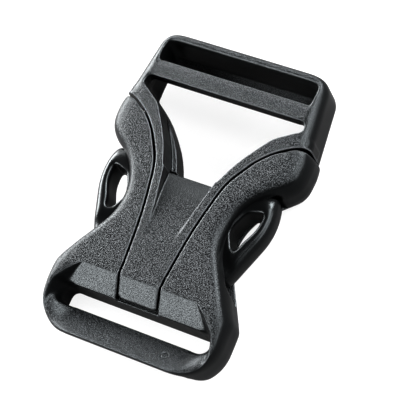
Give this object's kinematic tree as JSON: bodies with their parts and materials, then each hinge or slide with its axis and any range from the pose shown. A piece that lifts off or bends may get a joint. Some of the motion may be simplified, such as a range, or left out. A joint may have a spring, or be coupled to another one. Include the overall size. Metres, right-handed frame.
{
  "type": "side release buckle",
  "caption": "Fastened plastic side release buckle for 25 mm webbing: male clip with adjuster frame and looped side tabs, female body with webbing loop.",
  "frame": {"origin": "middle of the footprint, on the plane of the back faces", "axes": "+Z out of the front face, +Y along the length towards the adjuster frame of the male clip, +X across the webbing"},
  "size_m": [0.036, 0.0542, 0.0095],
  "materials": {
    "black_acetal": "fine spark-eroded texture, satin"
  },
  "bodies": {
    "root": {"male_clip": "black_acetal", "female_body": "black_acetal"}
  },
  "joints": []
}
